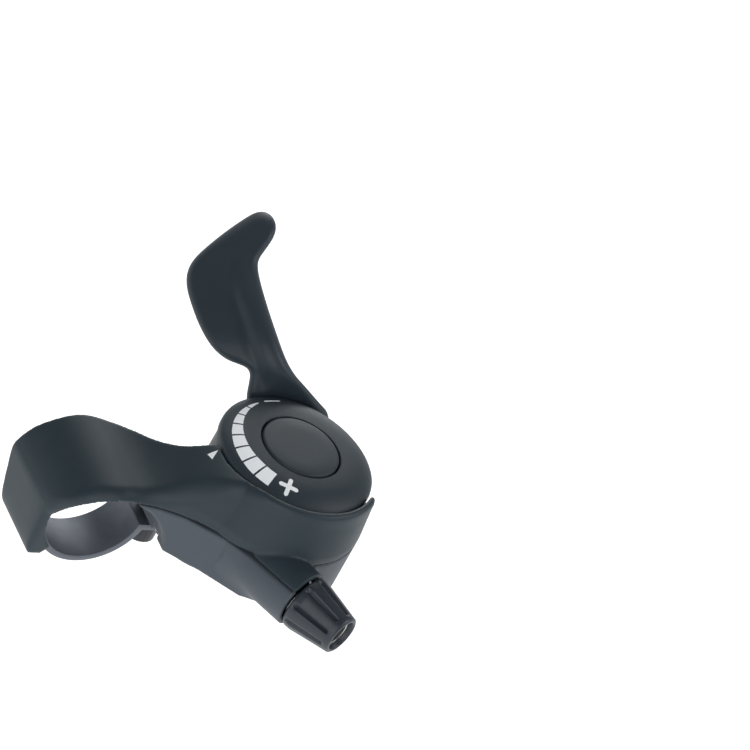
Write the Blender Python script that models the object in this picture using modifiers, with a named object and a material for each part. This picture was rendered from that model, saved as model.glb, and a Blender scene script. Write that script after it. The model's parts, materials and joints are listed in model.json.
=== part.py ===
"""Thumb shifter for a bicycle's left-hand grip: a friction shift lever on a handlebar clamp.

Row frame: metres, origin at the centre of the handlebar bore, +X along the handlebar,
+Z along the lever's pivot.  Every piece is modelled in the pivot frame instead: an empty
at the centre of the dial's rim, with the same directions, where +Y points to the clamp.
"""

from math import asin, cos, degrees, pi, radians, sin, tau

import bmesh
import bpy
from mathutils import Matrix, Vector

MM = 0.001

# ---------------------------------------------------------------- driving dimensions (mm)
BAR_RADIUS = 11.1            # 22.2 mm handlebar
PIVOT_TO_BAR = Vector((9.0, 35.9, -23.8))   # dial rim centre -> handlebar centre
GAP = 0.3                    # free gap between touching pieces

DIAL_RADIUS = 17.2
DIAL_CROWN = 2.6             # height of the dial's inner edge over its rim
CAP_RADIUS = 8.6
WELL_RADIUS = 17.6           # inside of the cover's wall around the dial
WALL_RADIUS = 18.8           # outside of that wall at its top
WALL_TOP = 1.2
WALL_TIP_ANGLE = 230.0       # where the wall ends, beside the lever

BODY_CENTRE = Vector((-0.8, 0.6))   # the body's round outline is a little off the pivot
BODY_RADIUS = ((122.0, 21.2), (160.0, 21.0), (230.0, 19.6))   # (angle, radius at the seam)
HOUSING_BOTTOM = -22.3
SEAM_AT_PIVOT = -10.8        # the seam falls gently towards the clamp
SEAM_SLOPE = -0.045
SEAM_GAP = 0.3

BAND_X = (3.0, 14.0)
BAND_THICK = 1.5
TAB_Z = -16.0                # mid-height of the band's upper tab
EAR_Z = -25.75               # mid-height of the band's lower ear
TAB_END_Y = 16.1
CLAMP_BOLT_XY = (9.5, 19.6)

CHAMBER_RADIUS = 16.7
PLATE_Z = (-22.1, -20.9)
PLATE_RADIUS = 17.4
PLATE_EAR = (19.4, 2.6)      # distance from the pivot, radius
PLATE_SCREW_ANGLES = (112.0, 275.0, 350.0)
COVER_SCREW_XY = (-2.6, 22.4)

POST_RADIUS = 3.5
BUSH_RADIUS = (3.8, 5.0)
HUB_BORE = 5.3
DRUM_Z = (-19.4, -10.2)
DRUM_RADIUS = 15.9
CABLE_Z = -15.2
CABLE_RADIUS = 15.0          # radius at which the cable leaves the drum
HUB_RADIUS = 16.8
HUB_Z = (-9.6, -1.8)
DRIVE_PIN_ANGLES = (70.0, 250.0)
DRIVE_PIN_REACH = 11.5

LEVER_ANGLE = -17.0          # direction of the lever about the pivot at rest
ADJUSTER_ANGLE = 209.2       # direction in which the cable casing leaves
BOSS_REACH = 22.3            # from the cable's tangent point to the boss's end face
BOSS_RADIUS = 6.6
KNOB_START = 1.0             # heights along the adjuster's axis, from the boss's end face
KNOB_LENGTH = 10.8
KNOB_RADII = (6.2, 4.6)
KNOB_FLUTES = 9

# ---------------------------------------------------------------- colours
PLASTIC = ((0.030, 0.040, 0.050), 0.55, 0.0)
GREY_PLASTIC = ((0.075, 0.082, 0.095), 0.6, 0.0)
GLOSS_PLASTIC = ((0.025, 0.032, 0.042), 0.35, 0.0)
BLACK_STEEL = ((0.05, 0.05, 0.055), 0.4, 0.9)
ZINC_STEEL = ((0.62, 0.62, 0.60), 0.35, 1.0)
BRASS = ((0.72, 0.55, 0.25), 0.35, 1.0)
NYLON = ((0.75, 0.74, 0.70), 0.6, 0.0)
FIBRE = ((0.30, 0.16, 0.08), 0.8, 0.0)


# ---------------------------------------------------------------- scene and helpers
def clear_scene():
    for obj in list(bpy.data.objects):
        bpy.data.objects.remove(obj, do_unlink=True)


def new_collection(name):
    collection = bpy.data.collections.new(name)
    bpy.context.scene.collection.children.link(collection)
    return collection


def empty(name, location, parent=None, rotation=None):
    obj = bpy.data.objects.new(name, None)
    obj.empty_display_size = 5 * MM
    PARTS.objects.link(obj)
    obj.parent = parent
    obj.location = Vector(location) * MM
    if rotation is not None:
        obj.rotation_euler = rotation
    return obj


def material(name, look):
    colour, roughness, metallic = look
    made = bpy.data.materials.new(name)
    made.use_nodes = True
    shader = made.node_tree.nodes["Principled BSDF"]
    shader.inputs["Base Color"].default_value = (*colour, 1.0)
    shader.inputs["Roughness"].default_value = roughness
    shader.inputs["Metallic"].default_value = metallic
    return made


def mesh_object(name, shape, parent=None):
    """A cutter-side object; piece() moves it to the parts when it is one."""
    mesh = bpy.data.meshes.new(name)
    bmesh.ops.recalc_face_normals(shape, faces=shape.faces)
    shape.to_mesh(mesh)
    shape.free()
    obj = bpy.data.objects.new(name, mesh)
    CUTTERS.objects.link(obj)
    obj.parent = parent or PIVOT
    obj.hide_render = True
    obj.display_type = "WIRE"
    return obj


def piece(obj, look, smooth_angle=30):
    """Make a finished shape one of the object's parts."""
    CUTTERS.objects.unlink(obj)
    PARTS.objects.link(obj)
    obj.hide_render = False
    obj.display_type = "TEXTURED"
    obj.data.materials.clear()
    obj.data.materials.append(material(obj.name, look))
    obj.data.shade_smooth()
    obj.data.set_sharp_from_angle(angle=radians(smooth_angle))
    return obj


def boolean(obj, operation, others):
    for other in others:
        step = obj.modifiers.new(other.name, "BOOLEAN")
        step.operation = operation
        step.object = other
    return obj


def use_manifold_solver(*objects):
    """For many-step bodies, where the exact solver leaves open edges."""
    for obj in objects:
        for step in obj.modifiers:
            if step.type == "BOOLEAN":
                step.solver = "MANIFOLD"


def cut(obj, *others):
    return boolean(obj, "DIFFERENCE", others)


def join(obj, *others):
    return boolean(obj, "UNION", others)


def keep_common(obj, *others):
    return boolean(obj, "INTERSECT", others)


def bevel(obj, width, segments=2, angle=35):
    step = obj.modifiers.new("Bevel", "BEVEL")
    step.width = width * MM
    step.segments = segments
    step.limit_method = "ANGLE"
    step.angle_limit = radians(angle)
    step.use_clamp_overlap = True
    return obj


def cylinder(name, radius, low, high, at=(0, 0), sides=48, parent=None, top_radius=None):
    shape = bmesh.new()
    bmesh.ops.create_cone(
        shape, cap_ends=True, segments=sides, radius1=radius * MM,
        radius2=(radius if top_radius is None else top_radius) * MM, depth=(high - low) * MM)
    middle = Vector((at[0], at[1], (low + high) / 2)) * MM
    bmesh.ops.translate(shape, verts=shape.verts, vec=middle)
    return mesh_object(name, shape, parent)


def ring(name, inner, outer, low, high, at=(0, 0), sides=48, parent=None):
    outline = [(inner, low), (inner, high), (outer, high), (outer, low)]
    obj = turned(name, outline, sides, parent)
    obj.location = Vector((at[0], at[1], 0)) * MM
    return obj


def turned(name, outline, sides=48, parent=None):
    """Turn a closed outline of (radius, height) points, listed clockwise, about Z."""
    shape = bmesh.new()
    rings = []
    for step in range(sides):
        turn = tau * step / sides
        rings.append([
            shape.verts.new(Vector((r * cos(turn), r * sin(turn), z)) * MM) for r, z in outline])
    count = len(outline)
    for step in range(sides):
        here, after = rings[step], rings[(step + 1) % sides]
        for i in range(count):
            j = (i + 1) % count
            shape.faces.new((here[i], here[j], after[j], after[i]))
    return mesh_object(name, shape, parent)


def prism(name, outline, low, high, parent=None):
    """A flat outline filled and extruded from one height to another."""
    curve = bpy.data.curves.new(name, "CURVE")
    curve.dimensions = "2D"
    curve.fill_mode = "BOTH"
    curve.extrude = (high - low) / 2 * MM
    spline = curve.splines.new("POLY")
    spline.points.add(len(outline) - 1)
    for point, (x, y) in zip(spline.points, outline):
        point.co = (x * MM, y * MM, 0, 1)
    spline.use_cyclic_u = True
    source = bpy.data.objects.new(name, curve)
    bpy.context.scene.collection.objects.link(source)
    bpy.context.view_layer.update()
    graph = bpy.context.evaluated_depsgraph_get()
    mesh = bpy.data.meshes.new_from_object(source.evaluated_get(graph))
    bpy.data.objects.remove(source, do_unlink=True)
    shape = bmesh.new()
    shape.from_mesh(mesh)
    bpy.data.meshes.remove(mesh)
    bmesh.ops.remove_doubles(shape, verts=shape.verts, dist=0.00001)
    bmesh.ops.translate(shape, verts=shape.verts, vec=Vector((0, 0, (low + high) / 2)) * MM)
    return mesh_object(name, shape, parent)


def side_prism(name, outline, low_x, high_x):
    """The same for an outline of (y, z) points, extruded along X."""
    obj = prism(name, outline, low_x, high_x)
    obj.data.transform(Matrix(((0, 0, 1), (1, 0, 0), (0, 1, 0))).to_4x4())
    return obj


def loft(name, sections):
    """Join outlines of equal point counts, each (outline, height), into one solid."""
    shape = bmesh.new()
    rings = [[shape.verts.new(Vector((x, y, z)) * MM) for x, y in outline]
             for outline, z in sections]
    for lower, upper in zip(rings, rings[1:]):
        for i in range(len(lower)):
            j = (i + 1) % len(lower)
            shape.faces.new((lower[i], lower[j], upper[j], upper[i]))
    shape.faces.new(rings[0])
    shape.faces.new(rings[-1])
    bmesh.ops.recalc_face_normals(shape, faces=shape.faces)
    bmesh.ops.triangulate(shape, faces=shape.faces)
    return mesh_object(name, shape)


def arc(centre, radius, start, end, steps):
    """Points on an arc between two angles in degrees, both ends included."""
    turns = [radians(start + (end - start) * i / steps) for i in range(steps + 1)]
    return [(centre[0] + radius * cos(a), centre[1] + radius * sin(a)) for a in turns]


def box(name, low, high):
    corners = [(low[0], low[1]), (high[0], low[1]), (high[0], high[1]), (low[0], high[1])]
    return prism(name, corners, low[2], high[2])


def polar(reach, angle):
    return (reach * cos(radians(angle)), reach * sin(radians(angle)))


def seam_z(y):
    return SEAM_AT_PIVOT + SEAM_SLOPE * y


# ---------------------------------------------------------------- clamp
def band_outline(clearance):
    """Side view of the strap: round the bar, with a tab over the top and an ear below."""
    inner = BAR_RADIUS - clearance
    outer = BAR_RADIUS + BAND_THICK + clearance
    half = BAND_THICK / 2 + clearance
    centre = (PIVOT_TO_BAR.y, PIVOT_TO_BAR.z)

    def angle_at(radius, z):
        return 180.0 - degrees(asin((z - centre[1]) / radius))

    end = TAB_END_Y - clearance
    points = [(end, TAB_Z - half), (end, TAB_Z + half)]
    points += arc(centre, outer, angle_at(outer, TAB_Z + half),
                  angle_at(outer, EAR_Z - half) - 360.0, 44)
    points += [(end, EAR_Z - half), (end, EAR_Z + half)]
    points += arc(centre, inner, angle_at(inner, EAR_Z + half) - 360.0,
                  angle_at(inner, TAB_Z - half), 44)
    return points


def clamp_pieces():
    low, high = BAND_X
    x, y = CLAMP_BOLT_XY
    band = side_prism("clamp_band", band_outline(0.0), low, high)
    cut(band, cylinder("band_bolt_hole", 2.8, EAR_Z - 3, TAB_Z + 3, (x, y), 24))
    piece(band, BLACK_STEEL)

    head = EAR_Z - BAND_THICK / 2 - 1.6
    bolt = cylinder("clamp_bolt", 2.45, head - 0.1, TAB_Z + 4.4, (x, y), 24)
    join(bolt, cylinder("clamp_bolt_head", 4.0, head - 4.2, head, (x, y), 24))
    cut(bolt, cylinder("clamp_bolt_socket", 2.3, head - 5.0, head - 1.6, (x, y), 6))
    piece(bolt, BLACK_STEEL)
    washer = ring("clamp_washer", 2.8, 3.9, head + GAP, head + 1.3, (x, y), 24)
    piece(washer, ZINC_STEEL)
    nut_low = TAB_Z + BAND_THICK / 2 + GAP
    nut = box("clamp_nut", (x - 4, y - 4, nut_low), (x + 4, y + 4, nut_low + 2.8))
    cut(nut, cylinder("clamp_nut_thread", 2.75, nut_low - 1, nut_low + 4, (x, y), 24))
    piece(nut, ZINC_STEEL)


# ---------------------------------------------------------------- cover and housing
def side_points(inset):
    """The body between the dial and the clamp, from the near side round to the far side."""
    return [(-11.2 + inset, 19.6), (-7.8 + inset, 24.0), (-5.3 + inset, 29.5),
            (-4.3 + inset, 34.5), (-4.2 + inset, 39.5), (-2.0 + inset, 44.5),
            (1.2 + inset, 48.0), (4.0 + inset, 49.8)]


def body_radius(angle):
    """Radius of the body's round outline at the seam; it is fuller towards the handlebar."""
    for (low, first), (high, second) in zip(BODY_RADIUS, BODY_RADIUS[1:]):
        if low <= angle <= high:
            return first + (second - first) * (angle - low) / (high - low)
    return BODY_RADIUS[-1][1]


def body_arc(start, end, steps, spread=1.0):
    points = []
    for step in range(steps + 1):
        angle = start + (end - start) * step / steps
        reach = WALL_RADIUS + (body_radius(angle) - WALL_RADIUS) * spread
        points.append(tuple(BODY_CENTRE * spread + Vector(polar(reach, angle))))
    return points


def cover_outline(spread):
    """Plan of the cover: spread runs from 0 at the wall's top to 1 at the seam."""
    points = [polar(12.0, WALL_TIP_ANGLE)]
    points += body_arc(WALL_TIP_ANGLE, 122.0, 24, spread)
    points += side_points(2.4 * (1 - spread))
    points += [(19.5, 49.8), (21.4, 48.2), (20.8, 44.0), (19.6, 38.0), (17.6, 33.5),
               (13.5, 30.0), (8.5, 27.0), (4.8, 23.0), (3.0, 18.0), (2.0, 8.0)]
    return points


# Side view of the cover's top, as (y, z)
COVER_TOP = [(-26.0, WALL_TOP), (13.0, WALL_TOP), (16.5, 0.3), (20.0, -1.4), (24.0, -4.5),
             (28.0, -7.6), (31.0, -9.3), (34.0, -10.2), (38.5, -10.3), (42.5, -12.0),
             (46.0, -15.0), (48.8, -18.4), (49.7, -21.5)]


def upper_cover():
    body = loft("upper_cover", [(cover_outline(1.0), -40.0), (cover_outline(1.0), -9.0),
                                (cover_outline(0.35), -2.0), (cover_outline(0.0), 4.0)])
    lip = [(49.7, -31.0), (49.2, -33.4), (47.9, -35.0), (46.2, -35.5), (44.8, -34.6)]
    under = [(PIVOT_TO_BAR.y, PIVOT_TO_BAR.z), (38.6, seam_z(38.6)), (-26.0, seam_z(-26.0))]
    keep_common(body, side_prism("cover_side_view", COVER_TOP + lip + under, -40, 40))
    relief = prism("near_relief", [(-30, -12.6), (-4.6, -12.6), (3.0, -24.0), (3.0, -60.0),
                                   (-30, -60.0)], -36.0 - 30, -36.0)
    relief.data.transform(Matrix.Rotation(pi / 2, 4, "X"))
    cap = cylinder("adjuster_cap", BOSS_RADIUS, -12.0, 0.0, parent=ADJUSTER, sides=40)
    below = [(-60.0, -60.0), (60.0, -60.0), (60.0, seam_z(60.0)), (-60.0, seam_z(-60.0))]
    cut(cap, side_prism("below_seam", below, -60, 60))
    join(body, cap)
    cut(body, relief, cylinder("dial_well", WELL_RADIUS, -30, 10, sides=72))
    cut(body, cylinder("cap_hollow", 5.4, -3.4, 1.0, parent=ADJUSTER, sides=32),
        cylinder("cap_insert_room", 4.6, -8.3, 0.0, parent=ADJUSTER, sides=32))
    cavity = loft("cover_cavity", [
        ([(-7.6, 20.4), (-4.0, 25.4), (-2.2, 31.0), (1.5, 31.0), (12.5, 31.0),
          (8.0, 28.2), (4.0, 24.5), (1.5, 19.2)], z) for z in (-20.0, 0.0)])
    hollow_top = [(y, z - 1.9) for y, z in COVER_TOP if y < 33] + [(32.0, -20.0), (-26.0, -20.0)]
    keep_common(cavity, side_prism("cavity_side_view", hollow_top, -20, 20))
    cut(body, cavity, bar_bore("cover_bore", GAP), band_channel("cover_channel"))
    use_manifold_solver(body)
    return piece(body, PLASTIC)


def bar_bore(name, clearance):
    centre = (PIVOT_TO_BAR.y, PIVOT_TO_BAR.z)
    circle = arc(centre, BAR_RADIUS + clearance, 0, 360 - 360 / 64, 63)
    return side_prism(name, circle, -30, 50)


def band_channel(name):
    return side_prism(name, band_outline(GAP), BAND_X[0] - GAP, BAND_X[1] + GAP)


def adjuster_point(along):
    """A point on the adjuster's axis, from where the cable leaves the drum."""
    side = ADJUSTER_ANGLE - 90.0
    tangent = Vector((*polar(CABLE_RADIUS, side), CABLE_Z))
    return tangent + Vector((*polar(along, ADJUSTER_ANGLE), 0))


def housing_outline():
    points = body_arc(390.0, 168.0, 44)
    points += [(-19.6, 11.2), (-12.6, 18.4), (-7.8, 24.4), (-5.3, 29.5)]
    points += [(-4.3, 34.4), (13.2, 34.4), (13.2, 24.0), (12.2, 20.0), (11.9, 17.0)]
    return points


def plate_shape(name, clearance, low, high):
    plate = cylinder(name, PLATE_RADIUS + clearance, low, high, sides=48)
    for angle in PLATE_SCREW_ANGLES:
        spot = polar(PLATE_EAR[0], angle)
        ear = cylinder(f"{name}_ear", PLATE_EAR[1] + clearance, low, high, spot, 20)
        join(plate, ear)
    return plate


def lower_housing():
    body = prism("lower_housing", housing_outline(), HOUSING_BOTTOM, 5.0)
    for angle in PLATE_SCREW_ANGLES:
        spot = polar(PLATE_EAR[0], angle)
        join(body, cylinder("screw_boss", PLATE_EAR[1] + 1.2, HOUSING_BOTTOM + 0.4, -12.0, spot, 24))
    join(body, cylinder("adjuster_boss", BOSS_RADIUS, -17.0, 0.0, parent=ADJUSTER, sides=40))
    top = [(-40.0, seam_z(-40.0) - SEAM_GAP), (60.0, seam_z(60.0) - SEAM_GAP),
           (60.0, 30.0), (-40.0, 30.0)]
    cut(body, side_prism("above_seam", top, -60, 60))
    cut(body, cylinder("chamber", CHAMBER_RADIUS, -20.6, 10.0, sides=56))
    window = [polar(40, -58), polar(40, -10), polar(50, 30), polar(40, 50), polar(10, 50),
              polar(10, -58)]
    cut(body, prism("lever_window", window, -17.6, 10.0))
    cut(body, plate_shape("plate_recess", GAP, -30.0, PLATE_Z[1] + GAP))
    cut(body, bar_bore("housing_bore", 0.0), band_channel("housing_channel"))

    x, y = CLAMP_BOLT_XY
    cut(body, cylinder("bolt_passage", 2.8, -30, -5, (x, y), 24),
        box("nut_pocket", (x - 4.3, y - 4.3, TAB_Z + 0.5), (x + 4.3, y + 4.3, 0.0)))
    for angle in PLATE_SCREW_ANGLES:
        cut(body, cylinder("plate_screw_hole", 1.4, -22, -14, polar(PLATE_EAR[0], angle), 16))
    cut(body, cylinder("cover_screw_hole", 1.5, -30, 0, COVER_SCREW_XY, 16),
        cylinder("cover_screw_head_pocket", 2.7, -30, -19.5, COVER_SCREW_XY, 20))
    cut(body, cylinder("insert_seat", 4.5, -8.3, 1.0, parent=ADJUSTER, sides=32),
        cylinder("spring_seat", 5.4, -3.4, 1.0, parent=ADJUSTER, sides=32),
        cylinder("cable_passage", 2.0, -22.0, -8.0, parent=ADJUSTER, sides=20))
    use_manifold_solver(body)
    return piece(body, GREY_PLASTIC)


def screw(name, at, low, length, head_radius, head_height, shaft_radius, look=ZINC_STEEL):
    """A pan-head screw standing on its head, with a cross recess."""
    body = cylinder(name, shaft_radius, low + head_height - 0.1, low + length, at, 16)
    join(body, cylinder(f"{name}_head", head_radius, low, low + head_height, at, 20))
    slot = head_radius * 0.62
    for turn, size in enumerate(((slot, 0.35), (0.35, slot))):
        cut(body, box(f"{name}_slot_{turn}", (at[0] - size[0], at[1] - size[1], low - 1),
                      (at[0] + size[0], at[1] + size[1], low + head_height * 0.5)))
    return piece(body, look)


def cover_screw():
    x, y = COVER_SCREW_XY
    screw("cover_screw", (x, y), -21.6, 14.6, 2.4, 1.6, 1.2)


def base_pieces():
    plate = plate_shape("base_plate", 0.0, *PLATE_Z)
    cut(plate, cylinder("rivet_hole", 2.9, -30, -10, sides=32))
    for number, angle in enumerate(PLATE_SCREW_ANGLES, 1):
        spot = polar(PLATE_EAR[0], angle)
        cut(plate, cylinder("plate_hole", 1.4, -30, -10, spot, 16))
        screw(f"base_screw_{number}", spot, PLATE_Z[0] - 1.5, 7.5, 2.1, 1.2, 1.15)
    piece(plate, BLACK_STEEL)


# ---------------------------------------------------------------- pivot
def pivot_pieces():
    post = turned("pivot_post", [(0.9, -22.0), (0.9, -3.9), (POST_RADIUS, -3.9),
                                 (POST_RADIUS, -19.5), (6.0, -19.5), (6.0, -20.6),
                                 (2.6, -20.6), (2.6, -22.0)], 28)
    cut(post, cylinder("post_thread", 2.3, -12.0, 0.0, sides=24))
    piece(post, ZINC_STEEL)
    piece(ring("thrust_washer", 6.3, 9.5, -20.5, -19.7, sides=28), NYLON)

    top = HUB_Z[0] + 5.0
    piece(ring("friction_disc", BUSH_RADIUS[1] + GAP, 8.0, top + 0.1, top + 0.8, sides=28), FIBRE)
    piece(ring("keyed_washer", 2.6, 7.8, top + 1.1, top + 1.9, sides=28), ZINC_STEEL)
    wave = turned("wave_spring", [(3.2, 0.0), (3.2, 0.4), (6.8, 0.4), (6.8, 0.0)], 32)
    for vertex in wave.data.vertices:
        across = vertex.co.xy.normalized()
        wobble = 0.25 * (1 - (2 * across.x * across.y) ** 2)
        vertex.co.z += (top + 2.2 + wobble) * MM
    piece(wave, ZINC_STEEL)
    head = top + 3.2
    bolt = cylinder("pivot_bolt", 2.0, -11.0, head + 0.1, sides=24)
    join(bolt, cylinder("pivot_bolt_head", 4.6, head, head + 1.6, sides=32))
    cut(bolt, cylinder("pivot_bolt_socket", 1.5, head + 0.5, head + 3.0, sides=6))
    piece(bolt, ZINC_STEEL)


def drum_pieces():
    low, high = DRUM_Z
    outline = [(HUB_BORE, low), (HUB_BORE, high), (DRUM_RADIUS, high),
               (DRUM_RADIUS, CABLE_Z + 1.9), (CABLE_RADIUS - 0.9, CABLE_Z + 0.7),
               (CABLE_RADIUS - 0.9, CABLE_Z - 0.7), (DRUM_RADIUS, CABLE_Z - 1.9),
               (DRUM_RADIUS, low)]
    drum = turned("cable_drum", outline, 48)
    anchor = polar(CABLE_RADIUS - 3.6, 20.0)
    cut(drum, cylinder("cable_end_seat", 2.4, -13.6, -5.0, anchor, 20),
        drive_pin_holes("drum_pin_hole"))
    piece(drum, GREY_PLASTIC)
    piece(ring("pivot_bush", BUSH_RADIUS[0], BUSH_RADIUS[1], -19.2, -4.2, sides=28), BRASS)
    for number, angle in enumerate(DRIVE_PIN_ANGLES, 1):
        spot = polar(DRIVE_PIN_REACH, angle)
        piece(cylinder(f"drive_pin_{number}", 1.2, -16.0, -5.6, spot, 20), ZINC_STEEL)


def drive_pin_holes(name):
    first = cylinder(name, 1.5, -16.3, -5.2, polar(DRIVE_PIN_REACH, DRIVE_PIN_ANGLES[0]), 20)
    second = cylinder(f"{name}_2", 1.5, -16.3, -5.2,
                      polar(DRIVE_PIN_REACH, DRIVE_PIN_ANGLES[1]), 20)
    return join(first, second)


# ---------------------------------------------------------------- lever and dial
PADDLE_ROWS = [  # (left edge, right edge) as (out, across, up) in the lever's own frame
    ((12.5, 5.5, -5.2), (12.5, -9.0, -5.2)),
    ((17.5, 6.5, -4.2), (17.0, -11.0, -4.2)),
    ((19.2, 9.8, 1.0), (18.2, -7.0, 2.0)),
    ((20.6, 15.2, 2.6), (19.0, 3.0, 6.4)),
    ((26.0, 21.8, 4.0), (23.3, 7.0, 9.2)),
    ((32.5, 25.8, 5.6), (30.3, 9.6, 11.6)),
    ((38.7, 25.8, 8.8), (36.5, 11.2, 14.2)),
    ((44.6, 22.8, 13.4), (42.7, 10.4, 18.4)),
    ((50.2, 15.6, 19.6), (49.2, 8.6, 22.2)),
]
PADDLE_THICK = 3.8
VALLEY = 1.6                 # how far the paddle dips between its two edges


def paddle():
    """The thumb paddle: a dished strip from the hub out to the hooked tip."""
    up = Vector((-0.53, 0.27, 0.80))
    shape = bmesh.new()
    rows = []
    for number, (left, right) in enumerate(PADDLE_ROWS):
        left, right = Vector(left), Vector(right)
        row = []
        for share in (0.0, 0.5, 1.0):
            dip = VALLEY * sin(pi * share) if number > 1 else 0.0
            row.append(shape.verts.new((left.lerp(right, share) - up * dip) * MM))
        rows.append(row)
    for here, after in zip(rows, rows[1:]):
        for i in range(2):
            shape.faces.new((here[i], after[i], after[i + 1], here[i + 1]))
    bmesh.ops.rotate(shape, verts=shape.verts, cent=(0, 0, 0),
                     matrix=Matrix.Rotation(radians(LEVER_ANGLE), 3, "Z"))
    obj = mesh_object("paddle", shape)
    skin = obj.modifiers.new("Solidify", "SOLIDIFY")
    skin.thickness = PADDLE_THICK * MM
    skin.offset = 0.0
    soft = obj.modifiers.new("Subdivision", "SUBSURF")
    soft.levels = 2
    soft.render_levels = 2
    obj.modifiers.new("Triangulate", "TRIANGULATE")
    return obj


def lever():
    hub = cylinder("lever", HUB_RADIUS, HUB_Z[0], HUB_Z[1] + 1.0, sides=56)
    join(hub, paddle())
    cut(hub, cylinder("dial_seat", DIAL_RADIUS + GAP, HUB_Z[1], 12.0, sides=56),
        cylinder("hub_bore", HUB_BORE, -20, 0),
        cylinder("friction_recess", 8.3, HUB_Z[0] + 5.0, 0.0),
        drive_pin_holes("hub_pin_hole"))
    return piece(hub, PLASTIC, 40)


def dial():
    crown = DIAL_CROWN
    outline = [(8.9, -1.5), (8.9, crown), (11.0, crown - 0.1), (13.5, 0.8 * crown),
               (15.6, 0.48 * crown), (16.8, 0.15 * crown), (DIAL_RADIUS, -0.5),
               (DIAL_RADIUS, -1.5)]
    return piece(turned("dial", outline, 56), PLASTIC)


def center_cap():
    top = DIAL_CROWN + 0.3
    cap = cylinder("center_cap", CAP_RADIUS, -0.6, top, sides=48)
    cut(cap, cylinder("cap_hollow", 7.4, -2.0, top - 1.0, sides=40))
    bevel(cap, 0.4, 1, 60)
    return piece(cap, PLASTIC)


# ---------------------------------------------------------------- cable adjuster
def adjuster_pieces():
    piece(ring("adjuster_insert", 3.1, 4.2, -8.0, -3.7, sides=32, parent=ADJUSTER), BRASS)
    stem = ring("adjuster_stem", 1.2, 2.7, -8.0, 7.5, sides=28, parent=ADJUSTER)
    piece(stem, BLACK_STEEL)
    start, end = KNOB_START, KNOB_START + KNOB_LENGTH
    knob = turned("barrel_adjuster", [
        (3.0, start + 3.0), (3.0, 7.9), (3.45, 7.9), (3.45, end), (KNOB_RADII[1] - 0.5, end),
        (KNOB_RADII[1], end - 0.8), (KNOB_RADII[0], start + 1.4), (KNOB_RADII[0] - 0.3, start),
        (4.9, start), (4.9, start + 3.0)], 45, ADJUSTER)
    for number in range(KNOB_FLUTES):
        angle = 360.0 / KNOB_FLUTES * number
        flute = cylinder(f"flute_{number}", 1.5, start + 1.9, end - 1.2, sides=8, parent=ADJUSTER)
        lean = (KNOB_RADII[0] - KNOB_RADII[1]) / KNOB_LENGTH
        for vertex in flute.data.vertices:
            reach = KNOB_RADII[0] + 0.9 - lean * (vertex.co.z / MM - start)
            vertex.co.x += reach * MM
        flute.data.transform(Matrix.Rotation(radians(angle), 4, "Z"))
        cut(knob, flute)
    piece(knob, GLOSS_PLASTIC)
    seat = ring("casing_seat", 2.55, 3.15, 8.2, end - 0.3, sides=32, parent=ADJUSTER)
    piece(seat, ZINC_STEEL)
    adjuster_spring()


def adjuster_spring():
    """A compression spring that keeps the adjuster from turning on its own."""
    radius, wire, turns, low, high = 3.95, 0.6, 3.5, -3.1, 3.6
    curve = bpy.data.curves.new("adjuster_spring", "CURVE")
    curve.dimensions = "3D"
    curve.bevel_depth = wire / 2 * MM
    curve.bevel_resolution = 2
    curve.use_fill_caps = True
    spline = curve.splines.new("POLY")
    steps = int(turns * 10)
    spline.points.add(steps)
    for i, point in enumerate(spline.points):
        share = i / steps
        turn = tau * turns * share
        height = low + wire / 2 + (high - low - wire) * share
        point.co = (radius * cos(turn) * MM, radius * sin(turn) * MM, height * MM, 1)
    obj = bpy.data.objects.new("adjuster_spring", curve)
    PARTS.objects.link(obj)
    obj.parent = ADJUSTER
    curve.materials.append(material("adjuster_spring", ZINC_STEEL))
    return obj


# ---------------------------------------------------------------- build
clear_scene()
PARTS = new_collection("thumb_shifter")
CUTTERS = new_collection("cutters")
PIVOT = empty("pivot_frame", -PIVOT_TO_BAR)
ADJUSTER = empty("adjuster_frame", adjuster_point(BOSS_REACH), PIVOT,
                 (0, pi / 2, radians(ADJUSTER_ANGLE)))
upper_cover()
lower_housing()
cover_screw()
base_pieces()
clamp_pieces()
pivot_pieces()
drum_pieces()
lever()
dial()
center_cap()
adjuster_pieces()
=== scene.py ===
import json
from math import asin, cos, degrees, pi, radians, sin, tau

import bmesh
import bpy
import numpy as np
from mathutils import Matrix, Vector


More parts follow.
